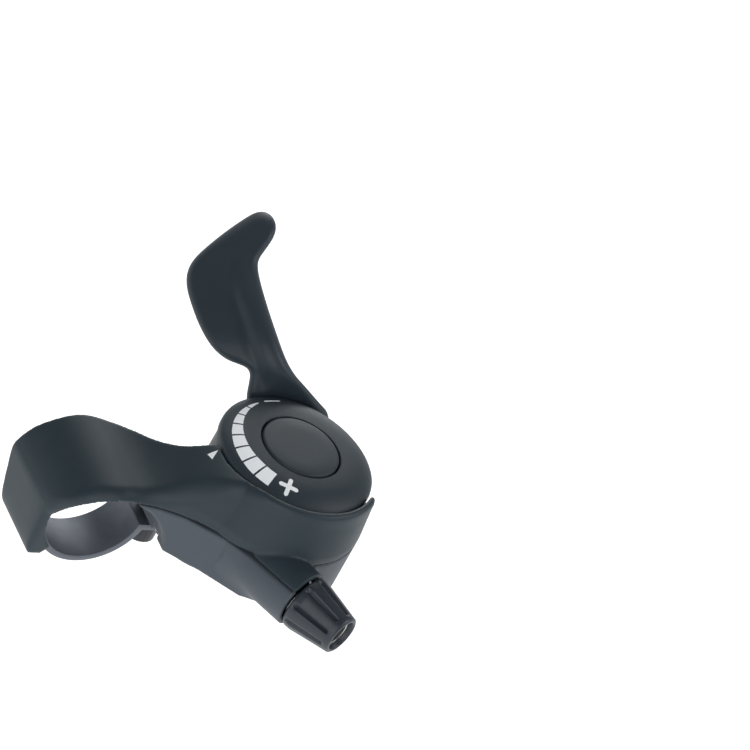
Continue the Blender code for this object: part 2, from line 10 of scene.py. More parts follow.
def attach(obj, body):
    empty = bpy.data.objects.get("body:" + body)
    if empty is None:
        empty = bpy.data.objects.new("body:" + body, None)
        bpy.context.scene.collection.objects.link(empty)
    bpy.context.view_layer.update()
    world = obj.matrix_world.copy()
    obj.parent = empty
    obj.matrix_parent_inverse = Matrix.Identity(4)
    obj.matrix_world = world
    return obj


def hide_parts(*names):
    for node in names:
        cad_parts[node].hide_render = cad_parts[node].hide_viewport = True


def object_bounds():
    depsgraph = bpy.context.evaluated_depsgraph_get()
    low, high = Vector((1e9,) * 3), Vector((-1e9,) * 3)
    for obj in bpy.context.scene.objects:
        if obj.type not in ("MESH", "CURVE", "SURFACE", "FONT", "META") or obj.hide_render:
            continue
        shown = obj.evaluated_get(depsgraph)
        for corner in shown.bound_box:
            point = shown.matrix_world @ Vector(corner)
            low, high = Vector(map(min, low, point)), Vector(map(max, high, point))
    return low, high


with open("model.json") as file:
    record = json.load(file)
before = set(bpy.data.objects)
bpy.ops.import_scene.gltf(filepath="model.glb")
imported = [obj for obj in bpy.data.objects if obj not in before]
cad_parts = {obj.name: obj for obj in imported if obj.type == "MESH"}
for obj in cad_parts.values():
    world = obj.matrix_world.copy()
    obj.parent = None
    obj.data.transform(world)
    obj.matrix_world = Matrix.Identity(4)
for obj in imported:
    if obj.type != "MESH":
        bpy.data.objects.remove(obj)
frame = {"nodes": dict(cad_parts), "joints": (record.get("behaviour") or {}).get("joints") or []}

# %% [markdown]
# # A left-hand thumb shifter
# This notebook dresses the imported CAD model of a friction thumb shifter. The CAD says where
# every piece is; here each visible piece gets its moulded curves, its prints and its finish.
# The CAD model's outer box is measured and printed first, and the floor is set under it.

cad_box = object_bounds()
print("CAD box, mm:", [round(1000 * side, 1) for side in cad_box[1] - cad_box[0]])

# %% [markdown]
# ## Where things are
# Sizes are in millimetres about the pivot: the centre of the dial's rim, +Z out of the
# dial, +Y towards the handlebar. The pivot and the adjuster's axis are read from the
# joints, so the dressed model can't drift away from the moving one.

# %% Axes and main sizes
MM = 0.001
JOINTS = {joint["name"]: joint for joint in frame["joints"]}
PIVOT = Vector(JOINTS["lever_pivot"]["pos_m"])
BAR_Y, BAR_Z = -PIVOT.y / MM, -PIVOT.z / MM       # handlebar centre, seen from the pivot
ADJUSTER = (Vector(JOINTS["barrel_turn"]["pos_m"]) - PIVOT) / MM
ADJUSTER_AXIS = Vector(JOINTS["barrel_turn"]["axis"]).normalized()
BAR_RADIUS = 11.1
BAND_THICK = 1.5
BAND_X = (3.0, 14.0)
BAND_TAB_Z, BAND_EAR_Z, BAND_END_Y = -16.0, -25.75, 16.1
CLAMP_BOLT = (9.5, 19.6)
WELL_RADIUS = 17.6            # inside of the wall round the dial
WALL_RADIUS, WALL_TOP, WALL_TIP = 18.8, 1.2, 230.0
BODY_CENTRE = (-0.8, 0.6)
BODY_RADIUS = ((122.0, 160.0, 230.0), (21.2, 21.0, 19.6))   # by angle, at the seam
HOUSING_BOTTOM = -22.3
SEAM_Z, SEAM_SLOPE, SEAM_GAP = -10.8, -0.045, 0.3
CHAMBER_RADIUS = 16.7
PLATE_TOP, PLATE_RADIUS = -20.9, 17.4
PLATE_EAR_REACH, PLATE_EAR_RADIUS = 19.4, 2.6
PLATE_SCREW_ANGLES = (112.0, 275.0, 350.0)
BOSS_RADIUS = 6.6
COVER_SCREW = (-2.6, 22.4)
DIAL_RADIUS, DIAL_CROWN = 17.2, 2.6
HUB_RADIUS, HUB_BORE = 16.8, 5.3          # the lever's hub and its bore
INSERT_ROOM, SPRING_ROOM = 4.6, 5.4       # radii of the bores that hold the adjuster
print("adjuster axis starts at", [round(c, 2) for c in ADJUSTER], "mm from the pivot")

# %% [markdown]
# ## Fields: moulded plastic as a formula
# A moulded body is a few simple volumes that flow into each other with rolled edges. A
# mesh Boolean leaves knife edges there. A distance field doesn't: every volume is a number
# at each point of a grid, negative inside, and the larger of two fields is what both have
# in common. Taking that maximum with a quarter circle in its corner gives an edge of an
# exact radius, which may even change along the piece.

# %% Field operations
def rounded_common(a, b, radius):
    """What two volumes share, with the edge between them rolled to this radius."""
    outer = np.sqrt(np.maximum(a + radius, 0) ** 2 + np.maximum(b + radius, 0) ** 2)
    return np.minimum(np.maximum(a, b), -radius) + outer


def rounded_union(a, b, radius):
    """Both volumes, with a fillet of this radius where they meet."""
    return -rounded_common(-a, -b, radius)


def without(body, hole, radius=0.25):
    return rounded_common(body, -hole, radius)


def between(value, low, high):
    """A slab: negative between two limits."""
    return np.maximum(low - value, value - high)


def outline_distance(u, v, outline):
    """Signed distance from points of a plane to a closed outline."""
    u, v = np.broadcast_arrays(u, v)
    nearest = np.full(u.shape, 1e9)
    inside = np.zeros(u.shape, bool)
    for (au, av), (bu, bv) in zip(outline, outline[1:] + outline[:1]):
        eu, ev = bu - au, bv - av
        share = np.clip(((u - au) * eu + (v - av) * ev) / (eu * eu + ev * ev + 1e-12), 0, 1)
        nearest = np.minimum(nearest, (u - au - share * eu) ** 2 + (v - av - share * ev) ** 2)
        if ev:
            inside ^= ((av > v) != (bv > v)) & (u < au + eu * (v - av) / ev)
    return np.where(inside, -1.0, 1.0) * np.sqrt(nearest)


def softened(points, times=2, closed=True):
    """Cut an outline's corners again and again, which turns a polygon into a soft curve."""
    for _ in range(times):
        pairs = list(zip(points, points[1:] + points[:1] if closed else points[1:]))
        cut = [(a[0] + (b[0] - a[0]) * s, a[1] + (b[1] - a[1]) * s)
               for a, b in pairs for s in (0.25, 0.75)]
        points = cut if closed else [points[0]] + cut + [points[-1]]
    return points


def arc(centre, radius, start, end, steps):
    turns = [radians(start + (end - start) * i / steps) for i in range(steps + 1)]
    return [(centre[0] + radius * cos(a), centre[1] + radius * sin(a)) for a in turns]


def polar(reach, angle):
    return (reach * cos(radians(angle)), reach * sin(radians(angle)))


def body_arc(start, end, steps, spread=1.0):
    """The body's round outline, a little fuller on the handlebar's side."""
    points = []
    for angle in np.linspace(start, end, steps + 1):
        reach = WALL_RADIUS + (np.interp(angle, *BODY_RADIUS) - WALL_RADIUS) * spread
        x, y = polar(reach, angle)
        points.append((BODY_CENTRE[0] * spread + x, BODY_CENTRE[1] * spread + y))
    return points


# %% [markdown]
# ## From a field to a mesh
# The skin is laid with surface nets: every grid cell that the surface crosses gets one
# point, the mean of where its edges are crossed, and each crossed grid edge joins four of
# those points into a face. It gives even quads on flats and curves alike.

# %% Surface nets
def grid(low, high, step):
    axes = [np.arange(a, b + step, step) for a, b in zip(low, high)]
    return np.meshgrid(*axes, indexing="ij", sparse=True)


def net(field, low, step):
    """(points, quads) of the field's zero surface."""
    inside = field < 0
    count = np.zeros([n - 1 for n in field.shape], np.int8)
    corners = [(i, j, k) for i in (0, 1) for j in (0, 1) for k in (0, 1)]
    nx, ny, nz = count.shape
    for i, j, k in corners:
        count += inside[i:nx + i, j:ny + j, k:nz + k]
    cells = np.argwhere((count > 0) & (count < 8))
    number = np.full(count.shape, -1, np.int32)
    number[tuple(cells.T)] = np.arange(len(cells))
    total, crossings = np.zeros((len(cells), 3)), np.zeros(len(cells))
    for start in corners:
        for axis in range(3):
            if start[axis]:
                continue
            end = list(start)
            end[axis] = 1
            a = field[tuple((cells + start).T)]
            b = field[tuple((cells + end).T)]
            crossed = (a < 0) != (b < 0)
            share = np.where(crossed, a / np.where(crossed, a - b, 1), 0)
            spot = np.tile(np.array(start, float), (len(cells), 1))
            spot[:, axis] = share
            total += spot * crossed[:, None]
            crossings += crossed
    points = (cells + total / crossings[:, None]) * step + np.array(low)
    quads = []
    for axis in range(3):
        b, c = (axis + 1) % 3, (axis + 2) % 3
        ahead = np.roll(inside, -1, axis)
        edges = inside != ahead
        for other in range(3):
            trim = [slice(None)] * 3
            trim[other] = slice(-1, None)
            edges[tuple(trim)] = False
            if other != axis:
                trim[other] = slice(0, 1)
                edges[tuple(trim)] = False
        at = np.argwhere(edges)
        step_b, step_c = np.eye(3, dtype=int)[b], np.eye(3, dtype=int)[c]
        ring = [at, at - step_b, at - step_b - step_c, at - step_c]
        faces = np.stack([number[tuple(p.T)] for p in ring], 1)
        leaving = inside[tuple(at.T)]
        faces[~leaving] = faces[~leaving][:, ::-1]
        quads.append(faces)
    return points, np.concatenate(quads)


def mesh_piece(name, points, faces, smooth_angle=None):
    """A new object at the origin from points in millimetres about the pivot."""
    mesh = bpy.data.meshes.new(name)
    mesh.from_pydata((np.asarray(points, float) * MM + np.array(PIVOT)).tolist(), [],
                     [list(map(int, face)) for face in faces])
    mesh.validate()
    mesh.shade_smooth()
    if smooth_angle is not None:
        mesh.set_sharp_from_angle(angle=radians(smooth_angle))
    obj = bpy.data.objects.new(name, mesh)
    bpy.context.scene.collection.objects.link(obj)
    return obj


def field_piece(name, formula, low, high, step):
    points, quads = net(formula(*grid(low, high, step)), low, step)
    print(f"{name}: {len(points)} points, {len(quads)} faces")
    return mesh_piece(name, points, quads)


# %% [markdown]
# ## Shared outlines
# The strap, the bar and the adjuster shape both halves of the body, so their fields are
# written once. The adjuster's fields measure along its own slanted axis.

# %% Shared fields
def seam_z(y):
    return SEAM_Z + SEAM_SLOPE * y


def band_outline(clearance, steps=44):
    """Side view of the strap: round the bar, with a tab over the top and an ear below."""
    inner = BAR_RADIUS - clearance
    outer = BAR_RADIUS + BAND_THICK + clearance
    half = BAND_THICK / 2 + clearance
    centre = (BAR_Y, BAR_Z)

    def angle_at(radius, z):
        return 180.0 - degrees(asin((z - BAR_Z) / radius))

    end = BAND_END_Y - clearance
    points = [(end, BAND_TAB_Z - half), (end, BAND_TAB_Z + half)]
    points += arc(centre, outer, angle_at(outer, BAND_TAB_Z + half),
                  angle_at(outer, BAND_EAR_Z - half) - 360.0, steps)
    points += [(end, BAND_EAR_Z - half), (end, BAND_EAR_Z + half)]
    points += arc(centre, inner, angle_at(inner, BAND_EAR_Z + half) - 360.0,
                  angle_at(inner, BAND_TAB_Z - half), steps)
    return points


def bar_field(y, z, clearance):
    return np.hypot(y - BAR_Y, z - BAR_Z) - BAR_RADIUS - clearance


def band_room(x, y, z, clearance=0.3):
    return np.maximum(outline_distance(y, z, band_outline(clearance)),
                      between(x, BAND_X[0] - clearance, BAND_X[1] + clearance))


def along_adjuster(x, y, z):
    """(distance along the adjuster's axis, distance from it)"""
    axis = ADJUSTER_AXIS
    dx, dy, dz = x - ADJUSTER.x, y - ADJUSTER.y, z - ADJUSTER.z
    along = dx * axis.x + dy * axis.y + dz * axis.z
    return along, np.sqrt(np.maximum(dx * dx + dy * dy + dz * dz - along * along, 0))


def rod(along, off, radius, low, high):
    return np.maximum(off - radius, between(along, low, high))


# %% [markdown]
# ## The cover
# The cover is one moulding: a wall round the dial, an arm, and a fairing that wraps the
# handlebar. Its plan leans in towards the top, its side view carries the hump, and the
# rolled edge between the two grows from a hairline at the dial to three millimetres on
# the fairing. That changing roll is why it is a field and not a bevel.

# %% Cover outlines
CREASE = (49.75, -22.4)       # where the fairing's top folds into its front
COVER_TOP = [(13.0, WALL_TOP), (16.5, 0.3), (20.0, -1.4), (24.0, -4.5), (28.0, -7.6),
             (31.0, -9.3), (34.0, -10.2), (38.5, -10.3), (42.5, -12.0), (46.0, -15.0),
             (48.6, -18.6), (49.7, -21.3), CREASE, (49.3, -27.0),
             (48.9, -31.0), (48.4, -33.6), (47.3, -35.1), (45.9, -35.5), (44.8, -34.6)]


def cover_plan(spread):
    """Plan of the cover: spread runs from 0 at the wall's top to 1 at the seam."""
    inset = 2.4 * (1 - spread)
    side = [(-11.2 + inset, 19.6), (-7.8 + inset, 24.0), (-5.3 + inset, 29.5),
            (-4.3 + inset, 34.5), (-4.2 + inset, 39.5), (-2.0 + inset, 44.5),
            (1.2 + inset, 48.0), (4.0 + inset, 49.8), (12.0, 50.0), (20.6, 50.2),
            (22.0, 49.9), (21.9, 47.4), (20.9, 44.0), (20.0, 38.0), (18.0, 33.0),
            (14.0, 29.4), (9.1, 26.5), (4.9, 22.8), (2.5, 17.6)]
    wall = body_arc(WALL_TIP, 122.0, 40, spread)
    tip = [polar(12.0, WALL_TIP)]
    return tip + wall[:1] + softened(wall[1:] + side, 2, closed=False) + [(2.0, 8.0)]


def cover_side():
    """Side view of the outside: a soft run to the fairing's crease, then its front."""
    crease = COVER_TOP.index(CREASE)
    run = softened(COVER_TOP[:crease], 3, closed=False)
    front = softened(COVER_TOP[crease:], 2, closed=False)
    return [(-26.0, WALL_TOP)] + run + front + [(40.0, -37.0), (-26.0, -37.0)]


def cover_under():
    """Side view of what lies above the seam and in front of the bar."""
    return [(BAR_Y, BAR_Z), (38.6, seam_z(38.6)), (-26.0, seam_z(-26.0)), (-26.0, 20.0),
            (60.0, 20.0), (60.0, -35.0), (44.8, -34.6)]


# %% Cover field
ROLL_ALONG = ((10.0, 24.0, 42.0, 47.0), (0.9, 3.4, 3.2, 0.7))     # (y, radius of the roll)
SPINE = ((16.0, 24.0, 30.0, 36.0), (-5.0, -2.0, 3.0, 7.0))        # (y, x) where it fades
FAR_ROLL, FADE_WIDTH = 0.5, 4.0
FAR_END, FAR_LEAN = 21.9, 0.3     # the fairing's far end, and how it leans in below
SEAM_EDGE = 0.2                   # a crisp edge along the seam


def cover_field(x, y, z):
    spread = np.interp(z, (-9.0, -2.0, 4.0), (1.0, 0.35, 0.0))
    plan = (outline_distance(x, y, cover_plan(1.0)) * spread
            + outline_distance(x, y, cover_plan(0.0)) * (1 - spread))
    side = outline_distance(y, z, cover_side())
    near_roll = np.interp(y, *ROLL_ALONG)
    spine = np.interp(y, *SPINE)
    roll = near_roll + (FAR_ROLL - near_roll) * np.clip((x - spine) / FADE_WIDTH, 0, 1)
    body = rounded_common(plan, side, np.minimum(roll, near_roll))
    lean = x - FAR_END - FAR_LEAN * np.minimum(z - CREASE[1], 0.0)
    body = rounded_common(body, lean / 1.04, 0.6)
    body = rounded_common(body, outline_distance(y, z, cover_under()), SEAM_EDGE)
    relief = outline_distance(x, z, [(-30, -12.6), (-4.6, -12.6), (2.2, -23.0),
                                     (2.2, -60.0), (-30, -60.0)])
    body = without(body, relief, np.interp(y, (37.0, 41.0), (0.05, 1.0)))
    along, off = along_adjuster(x, y, z)
    cap = np.maximum(rod(along, off, BOSS_RADIUS, -12.0, 0.0), seam_z(y) - z)
    body = rounded_union(body, cap, 0.6)
    body = without(body, np.hypot(x, y) - WELL_RADIUS, 0.35)
    body = without(body, rod(along, off, SPRING_ROOM, -3.4, 1.0))
    body = without(body, rod(along, off, INSERT_ROOM, -8.3, 0.0))
    hollow = outline_distance(x, y, [(-7.6, 20.4), (-4.0, 25.4), (-2.2, 31.0), (12.5, 31.0),
                                     (8.0, 28.2), (4.0, 24.5), (1.5, 19.2)])
    body = without(body, np.maximum(np.maximum(hollow, side + 1.9), -20.0 - z), 0.4)
    body = without(body, bar_field(y, z, 0.3), 0.3)
    return without(body, band_room(x, y, z, 0.12), 0.1)


FIELD_STEP = 0.36
cover = field_piece("cover_shell", cover_field, (-30.0, -23.0, -37.0), (23.0, 51.5, 2.6),
                    FIELD_STEP)

# %% [markdown]
# ## The housing
# The lower half is a grey box under the seam: the drum's chamber, a saddle for the bar, a
# pocket for the square nut, three screw bosses, and the boss that takes the adjuster.

# %% Housing field
def housing_field(x, y, z):
    outline = body_arc(390.0, 168.0, 66)
    outline += [(-19.6, 11.2), (-12.6, 18.4), (-7.8, 24.4), (-5.3, 29.5), (-4.3, 34.4),
                (13.2, 34.4), (13.2, 24.0), (12.2, 20.0), (11.9, 17.0)]
    body = rounded_common(outline_distance(x, y, outline), HOUSING_BOTTOM - z, 0.4)
    for angle in PLATE_SCREW_ANGLES:
        cx, cy = polar(PLATE_EAR_REACH, angle)
        boss = np.maximum(np.hypot(x - cx, y - cy) - PLATE_EAR_RADIUS - 1.2,
                          between(z, HOUSING_BOTTOM + 0.4, -12.0))
        body = rounded_union(body, boss, 0.8)
    along, off = along_adjuster(x, y, z)
    body = rounded_union(body, rod(along, off, BOSS_RADIUS, -17.0, 0.0), 1.4)
    body = rounded_common(body, z - seam_z(y) + SEAM_GAP, 0.3)
    body = without(body, np.maximum(np.hypot(x, y) - CHAMBER_RADIUS, -20.6 - z))
    window = outline_distance(x, y, [polar(40, -58), polar(40, -10), polar(50, 30),
                                     polar(40, 50), polar(10, 50), polar(10, -58)])
    body = without(body, np.maximum(window, -17.6 - z), 0.5)
    plate = np.hypot(x, y) - PLATE_RADIUS
    for angle in PLATE_SCREW_ANGLES:
        cx, cy = polar(PLATE_EAR_REACH, angle)
        plate = np.minimum(plate, np.hypot(x - cx, y - cy) - PLATE_EAR_RADIUS)
    body = without(body, np.maximum(plate - 0.3, z - PLATE_TOP - 0.3))
    for angle in PLATE_SCREW_ANGLES:
        cx, cy = polar(PLATE_EAR_REACH, angle)
        body = without(body, np.maximum(np.hypot(x - cx, y - cy) - 1.4, z + 14.0), 0.1)
    body = without(body, bar_field(y, z, 0.0), 0.3)
    body = without(body, band_room(x, y, z))
    bx, by = CLAMP_BOLT
    body = without(body, np.hypot(x - bx, y - by) - 2.8)
    nut = np.maximum(np.maximum(np.abs(x - bx), np.abs(y - by)) - 4.3, BAND_TAB_Z + 0.5 - z)
    body = without(body, nut)
    sx, sy = COVER_SCREW
    body = without(body, np.hypot(x - sx, y - sy) - 1.5, 0.1)
    body = without(body, np.maximum(np.hypot(x - sx, y - sy) - 2.7, z + 19.5))
    body = without(body, rod(along, off, 4.5, -8.3, 1.0))
    body = without(body, rod(along, off, SPRING_ROOM, -3.4, 1.0))
    return without(body, rod(along, off, 2.0, -22.0, -8.0))


housing = field_piece("housing_shell", housing_field, (-31.0, -23.0, -23.4),
                      (24.0, 36.0, -9.0), FIELD_STEP)

# %% [markdown]
# ## Turned pieces
# The dial, the cap and the metal sleeves are round, so each is a profile spun about an
# axis. The profile lists radius and height, and its corners are cut for a moulded edge.

# %% Turning
def turned(name, profile, sides=128, axis=None, smooth_angle=40):
    """Spin a closed profile of (radius, height) about the pivot's axis or the adjuster's."""
    count = len(profile)
    ring = [(cos(tau * s / sides), sin(tau * s / sides)) for s in range(sides)]
    points = [Vector((r * c, r * s, z)) for c, s in ring for r, z in profile]
    if axis:
        points = [axis @ point for point in points]
    faces = [(s * count + i, (s + 1) % sides * count + i,
              (s + 1) % sides * count + (i + 1) % count, s * count + (i + 1) % count)
             for s in range(sides) for i in range(count)]
    obj = mesh_piece(name, points, faces, smooth_angle)
    outward_faces(obj)
    return obj


def outward_faces(obj):
    shape = bmesh.new()
    shape.from_mesh(obj.data)
    bmesh.ops.remove_doubles(shape, verts=shape.verts, dist=1e-7)
    bmesh.ops.recalc_face_normals(shape, faces=shape.faces)
    shape.to_mesh(obj.data)
    shape.free()


ADJUSTER_TURN = ADJUSTER_AXIS.to_track_quat("Z", "Y").to_matrix().to_4x4()
ADJUSTER_FRAME = Matrix.Translation(ADJUSTER) @ ADJUSTER_TURN

DIAL_PROFILE = [(8.95, -1.5), (8.95, 2.42), (9.1, 2.58), (11.0, 2.5), (12.4, 2.32),
                (13.5, 2.08), (14.6, 1.7), (15.6, 1.25), (16.3, 0.8), (16.8, 0.39),
                (17.08, 0.02), (DIAL_RADIUS, -0.5), (DIAL_RADIUS, -1.5)]
dial = turned("dial_ring", DIAL_PROFILE, 160)
CAP_TOP = DIAL_CROWN + 0.3
cap = turned("cap_disc", [(0.0, CAP_TOP + 0.02), (5.0, CAP_TOP), (8.0, CAP_TOP - 0.06),
                          (8.35, CAP_TOP - 0.16), (8.55, CAP_TOP - 0.4), (8.6, CAP_TOP - 0.8),
                          (8.6, -0.6), (7.4, -0.6), (7.4, 1.9), (0.0, 1.9)], 128)
print("dial and cap:", len(dial.data.polygons), len(cap.data.polygons), "faces")


def dial_height(radius):
    """Height of the dial's face at a radius."""
    face = [(r, z) for r, z in DIAL_PROFILE if z > 0]
    return np.interp(radius, [r for r, _ in face], [z for _, z in face])


# %% [markdown]
# ## The lever
# The lever is one moulding of a hub and a thumb paddle. The paddle is a broad thin lobe
# beside a rounder arm, with a valley between them, and it rounds over at the tip. It is
# drawn as a plate: an outline in the plane that faces the thumb, and a height over that
# plane, so the field is worked out in the thumb's own frame and turned back afterwards.

# %% Paddle drawing
THUMB_RIGHT = Vector((-0.337, -0.851, 0.403)).normalized()
THUMB_OUT = Vector((-0.618, 0.523, 0.587))
THUMB_OUT = (THUMB_OUT - THUMB_RIGHT * THUMB_OUT.dot(THUMB_RIGHT)).normalized()
THUMB_UP = THUMB_OUT.cross(THUMB_RIGHT)
ARM_EDGE = [(7.1, 8.5), (4.5, 11.3), (2.1, 14.1), (-0.5, 16.95), (-2.3, 20.3), (-4.15, 25.6),
            (-5.7, 30.2), (-7.25, 35.4), (-7.9, 38.5), (-7.8, 40.5), (-6.0, 42.9),
            (-4.6, 45.0), (-4.0, 47.0), (-4.5, 49.0), (-5.8, 50.2)]
LOBE_EDGE = [(-7.3, 50.5), (-9.1, 50.0), (-13.5, 47.1), (-17.4, 44.1), (-21.0, 40.9),
             (-22.4, 38.5), (-22.8, 36.1), (-22.4, 33.3), (-21.3, 29.9), (-19.8, 26.2),
             (-18.0, 23.1), (-16.1, 21.0), (-14.0, 19.6), (-11.9, 18.9), (-10.2, 18.2),
             (-9.5, 17.0), (-9.8, 15.0), (-10.2, 13.0), (-10.3, 11.0)]
ROOT = [(-9.6, 8.0), (-7.0, 4.5), (0.0, 2.5), (6.0, 4.0)]
VALLEY = [(-6.6, 13.0), (-7.3, 15.9), (-8.0, 18.5), (-9.1, 21.9), (-10.35, 25.5),
          (-11.7, 29.1), (-13.0, 32.8), (-13.7, 37.4), (-13.5, 40.5), (-12.0, 44.0),
          (-9.5, 48.0)]
DEPTH = [(2.0, -17.0), (5.5, -16.6), (10.3, -14.9), (11.7, -13.4), (14.0, -12.3),
         (16.0, -11.3), (17.9, -10.1), (19.4, -9.5), (22.0, -9.4), (24.7, -9.9),
         (31.4, -12.6), (37.8, -15.3), (44.4, -18.0), (50.8, -21.4)]
PLATE_HALF = 1.9              # half of the paddle's thickness


def blended(q, points, reach=1.6):
    """A soft curve through (q, value) points, averaged over a short reach."""
    qs, values = zip(*points)
    return sum(np.interp(q + d, qs, values) for d in np.linspace(-reach, reach, 9)) / 9


# %% Lever field
def lever_field(p, q, n):
    outline = softened(ARM_EDGE + LOBE_EDGE + ROOT, 2)
    lean = 0.22 * np.interp(q, (13.0, 20.0), (1.0, 0.0))
    middle = blended(q, DEPTH) - lean * (p + 2.0)
    valley = blended(q, [(b, a) for a, b in VALLEY])
    arm_edge = blended(q, [(b, a) for a, b in ARM_EDGE])
    fade = np.interp(q, (10.0, 17.0, 32.0, 43.0), (0.0, 1.0, 1.0, 0.0))
    on_arm = np.clip((p - valley) / np.maximum(arm_edge - valley, 3.0), 0, 1)
    from_valley = np.maximum(valley - p, 0)
    arm = 0.9 * np.sin(pi * on_arm)
    lobe = -0.13 * from_valley
    dip = -0.55 * np.exp(-((p - valley) / 1.7) ** 2)
    face = middle + PLATE_HALF + (arm + dip + lobe * 0.8) * fade
    back = middle - PLATE_HALF - 0.7 * np.sin(pi * on_arm) * fade
    plate = np.maximum(n - face, back - n) / 1.12
    paddle = rounded_common(outline_distance(p, q, outline), plate, 1.75)
    spot = [THUMB_RIGHT[i] * p + THUMB_UP[i] * q + THUMB_OUT[i] * n for i in range(3)]
    x, y, z = spot
    radius = np.hypot(x, y)
    hub = rounded_common(radius - HUB_RADIUS, between(z, -9.6, -1.0), 0.35)
    body = rounded_union(paddle, hub, 1.3)
    body = without(body, np.maximum(radius - 17.5, -1.8 - z), 0.3)
    body = without(body, radius - HUB_BORE)
    return without(body, np.maximum(radius - 8.3, -4.6 - z))


LEVER_STEP = 0.36
low = (-24.2, -19.5, -24.5)
p, q, n = grid(low, (18.2, 52.0, 13.5), LEVER_STEP)
points, quads = net(lever_field(p, q, n), low, LEVER_STEP)
points = points @ np.array([THUMB_RIGHT, THUMB_UP, THUMB_OUT])
lever = mesh_piece("lever_moulding", points, quads)
print("lever:", len(lever.data.polygons), "faces")


# %% Modifiers to meshes
def finished_mesh(obj):
    """Turn an object's live modifiers into its plain mesh."""
    bpy.context.view_layer.update()
    made = bpy.data.meshes.new_from_object(
        obj.evaluated_get(bpy.context.evaluated_depsgraph_get()))
    obj.modifiers.clear()
    obj.data = made
    return obj


def add_modifier(obj, kind, **settings):
    step = obj.modifiers.new(kind.title(), kind)
    for key, value in settings.items():
        setattr(step, key, value)
    return step


def joined(target, *others):
    shape = bmesh.new()
    for obj in (target, *others):
        shape.from_mesh(obj.data)
    shape.to_mesh(target.data)
    shape.free()
    for obj in others:
        bpy.data.objects.remove(obj, do_unlink=True)
    return target


# %% [markdown]
# ## Node trees as Python
# Geometry Nodes and shaders are both node trees, so one small class serves both. A Value
# wraps a socket and turns + - * / into Math nodes, and Tree.add makes any other node
# from its type, its settings and what goes into its sockets.

# %% Tree helper
class Value:
    """One output socket; arithmetic on it adds Math nodes."""

    def __init__(self, tree, socket):
        self.tree, self.socket = tree, socket

    def math(self, operation, *others):
        return self.tree.add("ShaderNodeMath", dict(enumerate((self, *others))),
                             operation=operation)

    def __add__(self, other):
        return self.math("ADD", other)

    def __sub__(self, other):
        return self.math("SUBTRACT", other)

    def __mul__(self, other):
        return self.math("MULTIPLY", other)

    def __truediv__(self, other):
        return self.math("DIVIDE", other)

    def __rsub__(self, other):
        return self.tree.add("ShaderNodeMath", {0: other, 1: self}, operation="SUBTRACT")

    def __rtruediv__(self, other):
        return self.tree.add("ShaderNodeMath", {0: other, 1: self}, operation="DIVIDE")

    __radd__, __rmul__ = __add__, __mul__


class Tree:
    """A node tree under construction."""

    def __init__(self, tree):
        self.tree = tree

    def add(self, kind, inputs=(), output=0, stops=None, **settings):
        node = self.tree.nodes.new(kind)
        for key, value in settings.items():
            setattr(node, key, value)
        for place, (position, colour) in enumerate(stops or ()):
            ramp = node.color_ramp.elements
            stop = ramp[place] if place < len(ramp) else ramp.new(position)
            stop.position, stop.color = position, colour
        for key, value in dict(inputs).items():
            if isinstance(value, Value):
                self.tree.links.new(value.socket, node.inputs[key])
            else:
                node.inputs[key].default_value = value
        made = Value(self, node.outputs[output] if node.outputs else None)
        made.node = node
        return made


def out(value, key):
    """Another output of the node behind a value."""
    return Value(value.tree, value.node.outputs[key])


def geometry_tree(name, sizes):
    """(Tree, its input values): a Geometry Nodes group with named sizes."""
    group = bpy.data.node_groups.new(name, "GeometryNodeTree")
    group.interface.new_socket("Geometry", in_out="INPUT", socket_type="NodeSocketGeometry")
    for key, default in sizes.items():
        kind = "NodeSocketInt" if isinstance(default, int) else "NodeSocketFloat"
        group.interface.new_socket(key, in_out="INPUT", socket_type=kind)
    group.interface.new_socket("Geometry", in_out="OUTPUT", socket_type="NodeSocketGeometry")
    tree = Tree(group)
    source = tree.add("NodeGroupInput")
    return tree, {key: out(source, key) for key in ("Geometry", *sizes)}


def close_tree(tree, geometry, finish):
    real = tree.add("GeometryNodeRealizeInstances", {0: geometry})
    dressed = tree.add("GeometryNodeSetMaterial", {"Geometry": real, "Material": finish})
    end = tree.add("NodeGroupOutput", {0: dressed})
    return end


def grown(name, tree, sizes, start_mesh=None):
    """Run a tree once and keep the plain mesh."""
    mesh = start_mesh or bpy.data.meshes.new(name)
    obj = bpy.data.objects.new(name, mesh)
    bpy.context.scene.collection.objects.link(obj)
    step = obj.modifiers.new(name, "NODES")
    step.node_group = tree.tree
    for item in tree.tree.interface.items_tree:
        if item.in_out == "INPUT" and item.name in sizes:
            step[item.identifier] = sizes[item.name]
    finished_mesh(obj)
    print(f"{name}: {len(obj.data.polygons)} faces by rule")
    return obj


# %% [markdown]
# ## Finishes
# Moulded parts like these come from a spark-eroded tool, so their skin is a very fine,
# even grain with a satin sheen. Each finish below is the same recipe with its own colour:
# fine noise into Bump, slow noise into colour and roughness, all on Object coordinates so
# that nothing slides when the lever turns.

# %% Moulded plastic
def finish_tree(name):
    made = bpy.data.materials.new(name)
    made.use_nodes = True
    made.node_tree.nodes.clear()
    tree = Tree(made.node_tree)
    place = out(tree.add("ShaderNodeTexCoord"), "Object")
    return made, tree, place


def noise(tree, place, scale, detail=3.0, roughness=0.5):
    return tree.add("ShaderNodeTexNoise", {"Vector": place, "Scale": scale, "Detail": detail,
                                           "Roughness": roughness})


def mixed(tree, share, first, second):
    made = tree.add("ShaderNodeMix", {0: share, 6: (*first, 1.0), 7: (*second, 1.0)},
                    output=2, data_type="RGBA")
    return made


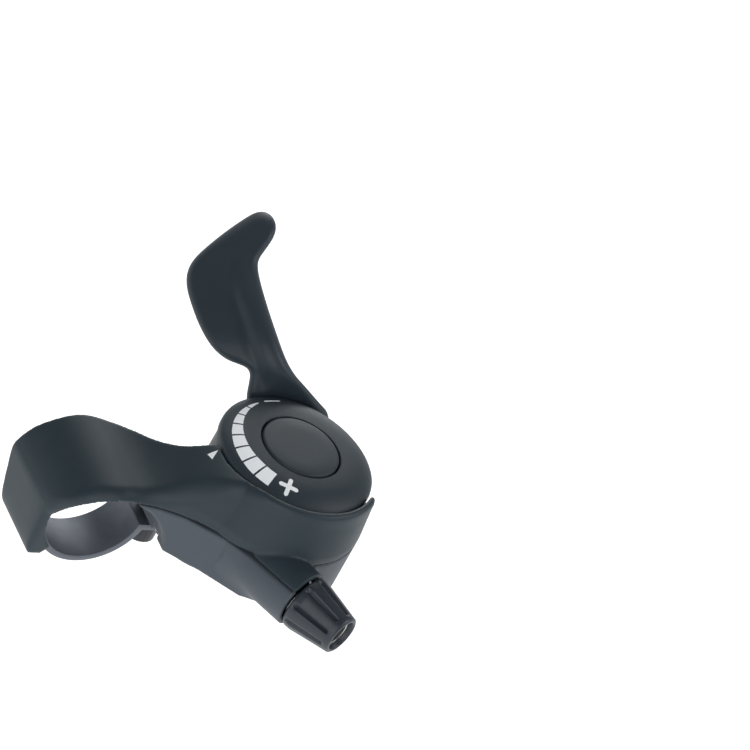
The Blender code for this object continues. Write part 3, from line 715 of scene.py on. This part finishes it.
def close_finish(made, tree, colour, roughness, normal=None, **fixed):
    sockets = {"Base Color": colour, "Roughness": roughness}
    if normal is not None:
        sockets["Normal"] = normal
    sockets.update({key.replace("_", " "): value for key, value in fixed.items()})
    shader = tree.add("ShaderNodeBsdfPrincipled", sockets)
    tree.add("ShaderNodeOutputMaterial", {"Surface": shader})
    return made


def moulded(name, dark, light, satin=0.48, spread=0.10, grain=0.10, grain_size=0.16,
            specular=0.5):
    """Spark-eroded plastic: grain_size in millimetres."""
    made, tree, place = finish_tree(name)
    fine = noise(tree, place, 1 / (grain_size * MM), 2.0, 0.6)
    slow = noise(tree, place, 1 / (9 * MM), 4.0, 0.55)
    handled = noise(tree, place, 1 / (2.2 * MM), 3.0, 0.6)
    colour = mixed(tree, slow * 0.7 + fine * 0.3, dark, light)
    roughness = handled * spread + fine * 0.06 + (satin - spread / 2 - 0.03)
    bump = tree.add("ShaderNodeBump", {"Strength": grain, "Distance": 0.05 * MM,
                                       "Height": fine + handled * 0.4})
    return close_finish(made, tree, colour, roughness, bump, Specular_IOR_Level=specular)


COVER_PLASTIC = moulded("cover_satin_plastic", (0.017, 0.029, 0.038), (0.026, 0.042, 0.053),
                        specular=0.35)
LEVER_PLASTIC = moulded("lever_satin_plastic", (0.020, 0.030, 0.040), (0.029, 0.042, 0.054),
                        specular=0.35)
DIAL_PLASTIC = moulded("dial_satin_plastic", (0.018, 0.028, 0.036), (0.027, 0.040, 0.050),
                       0.5, 0.08, specular=0.35)
HOUSING_PLASTIC = moulded("housing_grey_plastic", (0.056, 0.068, 0.084),
                          (0.080, 0.093, 0.112), 0.55, 0.08, specular=0.35)
KNOB_PLASTIC = moulded("knob_glossy_plastic", (0.016, 0.022, 0.032), (0.026, 0.034, 0.046),
                       0.40, 0.10, 0.06)


# %% [markdown]
# ## Metals and small materials
# The strap's black finish reads as a mid grey, screws and springs are bright zinc, the
# bush and the thread insert are brass. Turned metal shows fine rings, so a stretched noise
# drives the roughness.

# %% Metals
def metal(name, dark, light, rough=0.32, spread=0.16, metallic=1.0, streak=12.0):
    made, tree, place = finish_tree(name)
    stretched = tree.add("ShaderNodeMapping", {"Vector": place, "Scale": (1.0, 1.0, streak)})
    lines = noise(tree, stretched, 1 / (1.6 * MM), 5.0, 0.65)
    stain = noise(tree, place, 1 / (3.5 * MM), 3.0, 0.6)
    colour = mixed(tree, stain, dark, light)
    roughness = lines * spread + (rough - spread / 2)
    bump = tree.add("ShaderNodeBump", {"Strength": 0.08, "Distance": 0.02 * MM,
                                       "Height": lines})
    return close_finish(made, tree, colour, roughness, bump, Metallic=metallic)


STRAP_STEEL = metal("strap_grey_steel", (0.10, 0.11, 0.13), (0.15, 0.165, 0.19), 0.5,
                    0.14, 0.6, 1.0)
BOLT_STEEL = metal("bolt_black_steel", (0.035, 0.036, 0.040), (0.07, 0.072, 0.078), 0.38)
ZINC = metal("bright_zinc", (0.50, 0.50, 0.49), (0.68, 0.68, 0.66), 0.30)
BRASS = metal("machined_brass", (0.60, 0.42, 0.17), (0.76, 0.58, 0.28), 0.28)


def pressed(name, dark, light, rough):
    made, tree, place = finish_tree(name)
    fibres = noise(tree, place, 1 / (0.5 * MM), 6.0, 0.7)
    bump = tree.add("ShaderNodeBump", {"Strength": 0.25, "Distance": 0.05 * MM,
                                       "Height": fibres})
    return close_finish(made, tree, mixed(tree, fibres, dark, light),
                        fibres * 0.15 + (rough - 0.08), bump)


NYLON = pressed("natural_nylon", (0.70, 0.69, 0.64), (0.80, 0.79, 0.75), 0.5)
FIBRE = pressed("friction_fibre", (0.20, 0.10, 0.05), (0.38, 0.21, 0.11), 0.85)
PRINT = pressed("pad_print_white", (0.90, 0.92, 0.94), (0.96, 0.97, 0.98), 0.5)

# %% [markdown]
# ## The tension scale
# The dial carries a pad-printed wedge of eight blocks that grow towards the plus sign.
# They follow a rule, so Geometry Nodes lay them: one small grid for each block, whose
# points are bent onto the arc by the block's number and lifted onto the crowned face.

# %% Wedge tree
SCALE = {"Blocks": 8, "Start": radians(20.2), "Pitch": radians(14.25), "Gap": radians(1.7),
         "Middle Radius": 14.0, "Thin": 0.25, "Thick": 3.5, "Ink": 0.05}
tree, size = geometry_tree("tension_wedge", SCALE)
number = tree.add("GeometryNodeInputIndex")
line = tree.add("GeometryNodeMeshLine", {"Count": size["Blocks"], "Offset": (0, 0, 0)})
cell = tree.add("GeometryNodeMeshGrid", {"Size X": 1.0, "Size Y": 1.0, "Vertices X": 10,
                                         "Vertices Y": 9})
placed = tree.add("GeometryNodeInstanceOnPoints", {"Points": line, "Instance": cell})
tagged = tree.add("GeometryNodeStoreNamedAttribute",
                  {"Geometry": placed, "Name": "block", "Value": number},
                  data_type="FLOAT", domain="INSTANCE")
real = tree.add("GeometryNodeRealizeInstances", {0: tagged})
block = tree.add("GeometryNodeInputNamedAttribute", {"Name": "block"}, data_type="FLOAT")
spot = tree.add("ShaderNodeSeparateXYZ", {0: tree.add("GeometryNodeInputPosition")})
across, along = out(spot, "X") + 0.5, out(spot, "Y")
angle = size["Start"] + size["Pitch"] * block + across * (size["Pitch"] - size["Gap"])
share = (block + across) / size["Blocks"]
growth = share.math("POWER", 0.8).math("MINIMUM", 0.86) / 0.86
reach = size["Middle Radius"] + along * (size["Thin"] + (size["Thick"] - size["Thin"]) * growth)
crown = tree.add("ShaderNodeFloatCurve", {"Value": (reach - 8.9) / 8.3, "Factor": 1.0})
curve = crown.node.mapping.curves[0]
curve.points[0].location, curve.points[1].location = (0.0, DIAL_CROWN / 3), (1.0, -0.5 / 3)
for radius in np.linspace(9.2, 17.0, 14):
    curve.points.new((radius - 8.9) / 8.3, dial_height(radius) / 3)
for point in curve.points:
    point.handle_type = "VECTOR"
crown.node.mapping.use_clip = False
crown.node.mapping.update()
spot = tree.add("ShaderNodeCombineXYZ", {"X": reach * angle.math("COSINE") * MM + PIVOT.x,
                                         "Y": reach * angle.math("SINE") * MM + PIVOT.y,
                                         "Z": (crown * 3 + size["Ink"]) * MM + PIVOT.z})
bent = tree.add("GeometryNodeSetPosition", {"Geometry": real, "Position": spot})
close_tree(tree, bent, PRINT)
wedge = grown("tension_scale", tree, SCALE)


# %% [markdown]
# ## Signs and pointer
# The minus, the plus and the pointer are prints too: flat outlines filled with a fine
# grid of triangles and dropped onto the surface below them.

# %% Flat prints
def print_patch(name, outlines, height, ink=0.05, cell_size=0.25):
    """Closed outlines filled and laid onto a surface whose height is given at (x, y)."""
    shape = bmesh.new()
    for outline in outlines:
        ring = [shape.verts.new((x, y, 0)) for x, y in outline]
        shape.faces.new(ring)
    bmesh.ops.triangulate(shape, faces=shape.faces)
    for _ in range(6):
        long = [e for e in shape.edges if e.calc_length() > cell_size * 1.8]
        if not long:
            break
        bmesh.ops.subdivide_edges(shape, edges=long, cuts=1)
        bmesh.ops.triangulate(shape, faces=shape.faces)
    for vert in shape.verts:
        vert.co.z = height(vert.co.x, vert.co.y) + ink
    bmesh.ops.recalc_face_normals(shape, faces=shape.faces)
    if sum(face.normal.z for face in shape.faces) < 0:
        bmesh.ops.reverse_faces(shape, faces=shape.faces)
    points = [tuple(v.co) for v in shape.verts]
    shape.verts.index_update()
    faces = [[v.index for v in face.verts] for face in shape.faces]
    shape.free()
    obj = mesh_piece(name, points, faces)
    obj.data.materials.append(PRINT)
    return obj


def bar(centre, direction, length, width):
    """A straight stroke about a centre, with its corners cut."""
    ex, ey = polar(1.0, direction)
    half, corner = length / 2, width * 0.35
    steps = [(half - corner, -width / 2), (half, -width / 2 + corner),
             (half, width / 2 - corner), (half - corner, width / 2)]
    outline = steps + [(-u, v) for u, v in reversed(steps)]
    return [(centre[0] + u * ex - v * ey, centre[1] + u * ey + v * ex) for u, v in outline]


def on_dial(x, y):
    return float(dial_height(np.hypot(x, y)))


MINUS_AT, PLUS_AT = polar(14.0, 5.0), polar(13.6, 147.5)
minus = print_patch("minus_sign", [bar(MINUS_AT, 95.0, 4.0, 0.5)], on_dial)
plus_bars = [bar(PLUS_AT, 57.5, 4.4, 0.95), bar(PLUS_AT, 147.5, 4.4, 0.95)]
plus = print_patch("plus_sign", plus_bars[:1], on_dial)
plus_second = print_patch("plus_sign_cross", plus_bars[1:], on_dial, 0.056)
joined(plus, plus_second)


def on_cover(x, y):
    return float(np.interp(y, [p[0] for p in TOP_LINE], [p[1] for p in TOP_LINE]))


TOP_LINE = softened(COVER_TOP, 3, closed=False)[:60]
pointer = print_patch("pointer_mark", [[(0.75, 20.4), (0.9, 18.3), (-0.95, 20.0)]], on_cover,
                      0.06)
print("prints:", [o.name for o in (wedge, minus, plus, pointer)])

# %% [markdown]
# ## The adjuster knob
# The knob tapers, its broad ribs are parted by narrow grooves, and a smooth collar closes
# its tip. That is a rule of angle and height, so a spun blank is shaped by a Geometry
# Nodes tree, which pushes each outer point inwards where a groove runs.

# %% Knob blank and grooves
KNOB_START, KNOB_END, KNOB_WIDE, KNOB_NARROW = 0.5, 11.8, 6.2, 4.6
KNOB_STRAIGHT, KNOB_TIP = 1.9, 0.8    # lengths that don't taper, at the base and the tip
KNOB_RINGS = 44                       # rings of points, enough for the grooves' ends


def knob_profile():
    outer = [(KNOB_WIDE - 0.35, KNOB_START), (KNOB_WIDE - 0.08, KNOB_START + 0.22)]
    lean = (KNOB_WIDE - KNOB_NARROW) / (KNOB_END - KNOB_START - (KNOB_STRAIGHT + KNOB_TIP))
    for height in np.linspace(KNOB_START + 0.6, KNOB_END - 0.7, KNOB_RINGS):
        tapered = max(0.0, height - KNOB_START - KNOB_STRAIGHT)
        outer.append((KNOB_WIDE - lean * tapered, height))
    outer += [(KNOB_NARROW - 0.12, KNOB_END - 0.28), (KNOB_NARROW - 0.5, KNOB_END)]
    inner = [(3.75, KNOB_END), (3.5, KNOB_END - 0.25), (3.45, 7.9), (3.0, 7.9),
             (3.0, KNOB_START + 3.5), (4.9, KNOB_START + 3.5), (4.9, KNOB_START)]
    return outer + inner


RIBS = {"Ribs": 9, "Depth": 0.75 * MM, "Sharpness": 14.0, "Bottom": 1.0 * MM, "Top": 9.7 * MM,
        "Outer": 4.2 * MM}
tree, size = geometry_tree("knob_ribs", RIBS)
spot = tree.add("ShaderNodeSeparateXYZ", {0: tree.add("GeometryNodeInputPosition")})
px, py, pz = out(spot, "X"), out(spot, "Y"), out(spot, "Z")
radius = (px * px + py * py).math("SQRT")
turn = py.math("ARCTAN2", px)
groove = (turn * size["Ribs"] * 0.5).math("COSINE").math("ABSOLUTE").math(
    "POWER", size["Sharpness"])


def ramp_up(value, start, width):
    return tree.add("ShaderNodeMapRange", {"Value": value, "From Min": start,
                                           "From Max": start + width},
                    interpolation_type="SMOOTHSTEP")


window = (ramp_up(pz, size["Bottom"], 0.9 * MM) * (1 - ramp_up(pz, size["Top"], 0.9 * MM))
          * ramp_up(radius, size["Outer"], 0.1 * MM))
push = (groove * window * size["Depth"]) / radius
offset = tree.add("ShaderNodeCombineXYZ", {"X": px * push * -1, "Y": py * push * -1})
shaped = tree.add("GeometryNodeSetPosition", {"Geometry": size["Geometry"],
                                              "Offset": offset})
close_tree(tree, shaped, KNOB_PLASTIC)


def spun_blank(name, profile, sides):
    """A closed spin about Z at the origin, in metres, as a bare mesh."""
    count = len(profile)
    points = [(r * cos(tau * s / sides) * MM, r * sin(tau * s / sides) * MM, z * MM)
              for s in range(sides) for r, z in profile]
    faces = [(s * count + i, (s + 1) % sides * count + i,
              (s + 1) % sides * count + (i + 1) % count, s * count + (i + 1) % count)
             for s in range(sides) for i in range(count)]
    mesh = bpy.data.meshes.new(name)
    mesh.from_pydata(points, [], faces)
    return mesh


knob = grown("knob_ribbed", tree, RIBS, spun_blank("knob_ribbed", knob_profile(), 216))
in_row = Matrix.Translation(PIVOT + ADJUSTER * MM) @ ADJUSTER_TURN
knob.data.transform(in_row)
outward_faces(knob)
knob.data.shade_smooth()
knob.data.set_sharp_from_angle(angle=radians(50))

# %% [markdown]
# ## The adjuster's spring
# The spring keeps the knob from creeping. It follows a helix, so a Spiral curve swept
# with a small circle makes it.

# %% Spring tree
COIL = {"Turns": 3.5, "Radius": 3.95 * MM, "Height": 6.1 * MM, "Wire": 0.3 * MM}
tree, size = geometry_tree("coil_spring", COIL)
helix = tree.add("GeometryNodeCurveSpiral",
                 {"Resolution": 40, "Rotations": size["Turns"], "Start Radius": size["Radius"],
                  "End Radius": size["Radius"], "Height": size["Height"]})
wire = tree.add("GeometryNodeCurvePrimitiveCircle", {"Resolution": 12,
                                                     "Radius": size["Wire"]})
swept = tree.add("GeometryNodeCurveToMesh", {"Curve": helix, "Profile Curve": wire,
                                             "Fill Caps": True})
smooth = tree.add("GeometryNodeSetShadeSmooth", {"Geometry": swept})
close_tree(tree, smooth, ZINC)
spring = grown("adjuster_coil", tree, COIL)
spring.data.transform(in_row @ Matrix.Translation((0, 0, -2.8 * MM)))
outward_faces(spring)

# %% [markdown]
# ## The strap
# The clamp's strap is bent from a steel strip. Its side view is drawn with fine arcs and
# extruded to the strip's width, and a small Bevel breaks its edges as deburring does.

# %% Strap
def strip(name, outline, low_x, high_x):
    """An outline of (y, z) extruded along X, as one closed mesh."""
    count = len(outline)
    half = count // 2
    points = [(x, y, z) for x in (low_x, high_x) for y, z in outline]
    sides = [(i, (i + 1) % count, count + (i + 1) % count, count + i) for i in range(count)]
    caps = [tuple(base + k for k in (i, i + 1, count - 2 - i, count - 1 - i))
            for base in (0, count) for i in range(half - 1)]
    return mesh_piece(name, points, sides + caps)


STRAP_STEPS = 150
strap_outline = band_outline(0.0, STRAP_STEPS)
tab, ear = strap_outline[:2], strap_outline[STRAP_STEPS + 3:STRAP_STEPS + 5]
outer = strap_outline[2:STRAP_STEPS + 3]
inner = strap_outline[STRAP_STEPS + 5:]
ordered = [tab[1]] + outer + [ear[0]] + [ear[1]] + inner + [tab[0]]
strap = strip("clamp_strap", ordered, *BAND_X)
outward_faces(strap)
hole = turned("strap_hole", [(0.0, -34.0), (2.8, -34.0), (2.8, -10.0), (0.0, -10.0)], 48)
hole.data.transform(Matrix.Translation((CLAMP_BOLT[0] * MM, CLAMP_BOLT[1] * MM, 0)))
add_modifier(strap, "BOOLEAN", operation="DIFFERENCE", object=hole, solver="EXACT")
add_modifier(strap, "BEVEL", width=0.22 * MM, segments=2, limit_method="ANGLE",
             angle_limit=radians(40))
finished_mesh(strap)
bpy.data.objects.remove(hole, do_unlink=True)
strap.data.shade_smooth()
strap.data.set_sharp_from_angle(angle=radians(35))
print("strap:", len(strap.data.polygons), "faces")

# %% [markdown]
# ## Sleeve and stem
# A thin zinc sleeve lines the knob's mouth and takes the cable casing, and the hollow
# stem ends behind it.

# %% Sleeve and stem
sleeve = turned("casing_sleeve", [(2.55, 8.2), (2.55, KNOB_END - 1.2), (2.65, KNOB_END - 1.1),
                                  (3.05, KNOB_END - 1.1), (3.15, KNOB_END - 1.2), (3.15, 8.2)],
                96, ADJUSTER_FRAME)
stem = turned("hollow_stem", [(1.2, -8.0), (1.2, 7.3), (1.4, 7.5), (2.5, 7.5), (2.7, 7.3),
                              (2.7, -8.0)], 64, ADJUSTER_FRAME)

# %% [markdown]
# ## Dressing and riding
# Every new piece gets its finish, hides the CAD nodes it stands for, and rides on the
# body that carries it. CAD nodes that stay, such as screws and washers, get their finish
# in their own material slots.

# %% Finishes and bodies
PIECES = [  # (piece, finish, slot, body, CAD nodes it stands for)
    (cover, COVER_PLASTIC, "cover_plastic", "bracket", ["upper_cover"]),
    (housing, HOUSING_PLASTIC, "housing_plastic", "bracket", ["lower_housing"]),
    (strap, STRAP_STEEL, "black_steel", "bracket", ["clamp_band"]),
    (spring, ZINC, "zinc_steel", "bracket", ["adjuster_spring"]),
    (pointer, PRINT, "cover_plastic", "bracket", []),
    (lever, LEVER_PLASTIC, "lever_plastic", "lever_assembly", ["lever"]),
    (dial, DIAL_PLASTIC, "dial_plastic", "lever_assembly", ["dial"]),
    (cap, DIAL_PLASTIC, "dial_plastic", "lever_assembly", ["center_cap"]),
    (wedge, PRINT, "dial_plastic", "lever_assembly", []),
    (minus, PRINT, "dial_plastic", "lever_assembly", []),
    (plus, PRINT, "dial_plastic", "lever_assembly", []),
    (knob, KNOB_PLASTIC, "adjuster_plastic", "adjuster_knob", ["barrel_adjuster"]),
    (stem, BOLT_STEEL, "black_steel", "adjuster_knob", ["adjuster_stem"]),
    (sleeve, ZINC, "zinc_steel", "casing_seat", ["casing_seat"]),
]
for piece, finish, slot, body, nodes in PIECES:
    piece.data.materials.clear()
    piece.data.materials.append(finish)
    if nodes:
        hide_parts(*nodes)
    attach(piece, body)

KEPT = {"base_plate": BOLT_STEEL, "clamp_bolt": BOLT_STEEL, "pivot_bush": BRASS,
        "adjuster_insert": BRASS, "thrust_washer": NYLON, "friction_disc": FIBRE,
        "cable_drum": HOUSING_PLASTIC}
stood_for = {node for row in PIECES for node in row[4]}
for name, node in frame["nodes"].items():
    if name in stood_for:
        continue
    finish = KEPT.get(name, ZINC)
    node.data.materials.clear()
    node.data.materials.append(finish)
print("pieces:", len(PIECES), " CAD nodes kept:", len(frame["nodes"]) - len(stood_for))

# %% [markdown]
# ## Stage, light and camera
# The shifter floats over a plain pale floor. The world is bright at the horizon and dim
# overhead, so upright walls come out lighter than tops, as in a light tent. Four soft
# lights add to it: a key from above, a rim from behind that catches the dial's edge, a
# front one for the lever's face, and a weak one from the side for the knob. The camera
# has no perspective, which is close to what a long lens gives.

# %% Stage
def area_light(name, direction, distance, size, power):
    """A square soft light at a distance from the pivot, facing it."""
    data = bpy.data.lights.new(name, "AREA")
    data.shape, data.size, data.energy = "SQUARE", size, power
    obj = bpy.data.objects.new(name, data)
    bpy.context.scene.collection.objects.link(obj)
    toward = Vector(direction).normalized()
    obj.location = PIVOT + toward * distance
    obj.rotation_euler = toward.to_track_quat("Z", "Y").to_euler()
    return obj


VIEW_RIGHT, VIEW_UP, VIEW_BACK = THUMB_RIGHT, THUMB_UP, THUMB_OUT
FLOOR_Z = cad_box[0].z - 0.25
floor_mesh = bpy.data.meshes.new("floor")
floor_mesh.from_pydata([(x, y, FLOOR_Z) for x, y in ((-6, -6), (6, -6), (6, 6), (-6, 6))], [],
                       [(0, 1, 2, 3)])
floor = bpy.data.objects.new("floor", floor_mesh)
bpy.context.scene.collection.objects.link(floor)
pale, tree, place = finish_tree("pale_floor")
close_finish(pale, tree, (0.6, 0.6, 0.6, 1.0), 0.9, Emission_Color=(1.0, 1.0, 1.0, 1.0),
             Emission_Strength=0.92)
floor.data.materials.append(pale)

world = bpy.data.worlds.new("pale_studio")
world.use_nodes = True
sky = Tree(world.node_tree)
background = world.node_tree.nodes["Background"]
background.inputs["Color"].default_value = (0.86, 0.94, 1.0, 1.0)
height = out(sky.add("ShaderNodeSeparateXYZ", {0: sky.add("ShaderNodeTexCoord")}), "Z")
glow = sky.add("ShaderNodeMapRange", {"Value": height, "From Min": 0.0, "From Max": 0.45,
                                      "To Min": 0.85, "To Max": 0.10},
               interpolation_type="SMOOTHSTEP")
world.node_tree.links.new(glow.socket, background.inputs["Strength"])
bpy.context.scene.world = world
LIGHT_DISTANCE = 0.6
LIGHTS = [  # (name, direction from the pivot, size in metres, watts)
    ("key", VIEW_UP * 0.95 - VIEW_BACK * 0.15 + VIEW_RIGHT * 0.1, 0.4, 1.0),
    ("rim", Vector((0.85, -0.5, 0.28)), 0.3, 0.8),
    ("front", Vector((-0.65, 0.5, 0.45)), 0.5, 1.6),
    ("side", VIEW_RIGHT * 0.9 + VIEW_BACK * 0.2 + VIEW_UP * 0.2, 0.3, 1.2),
]
for name, direction, size, power in LIGHTS:
    area_light(name, direction, LIGHT_DISTANCE, size, power)
print("lights:", [row[0] for row in LIGHTS])
bpy.context.scene.view_settings.view_transform = "Standard"

# %% Camera
CAMERA_WIDTH = 0.1546         # metres across the picture
AIM_RIGHT, AIM_UP = 16.25, 16.70          # the picture's centre, from the pivot
CAMERA_BACK = 0.6
camera_data = bpy.data.cameras.new("camera")
camera_data.type = "ORTHO"
camera_data.ortho_scale = CAMERA_WIDTH
camera = bpy.data.objects.new("camera", camera_data)
bpy.context.scene.collection.objects.link(camera)
camera.matrix_world = (Matrix.Translation(PIVOT + (VIEW_RIGHT * AIM_RIGHT + VIEW_UP * AIM_UP) * MM
                                          + VIEW_BACK * CAMERA_BACK)
                       @ Matrix((VIEW_RIGHT, VIEW_UP, VIEW_BACK)).transposed().to_4x4())
camera_data.clip_start, camera_data.clip_end = 0.01, 50.0
bpy.context.scene.camera = camera
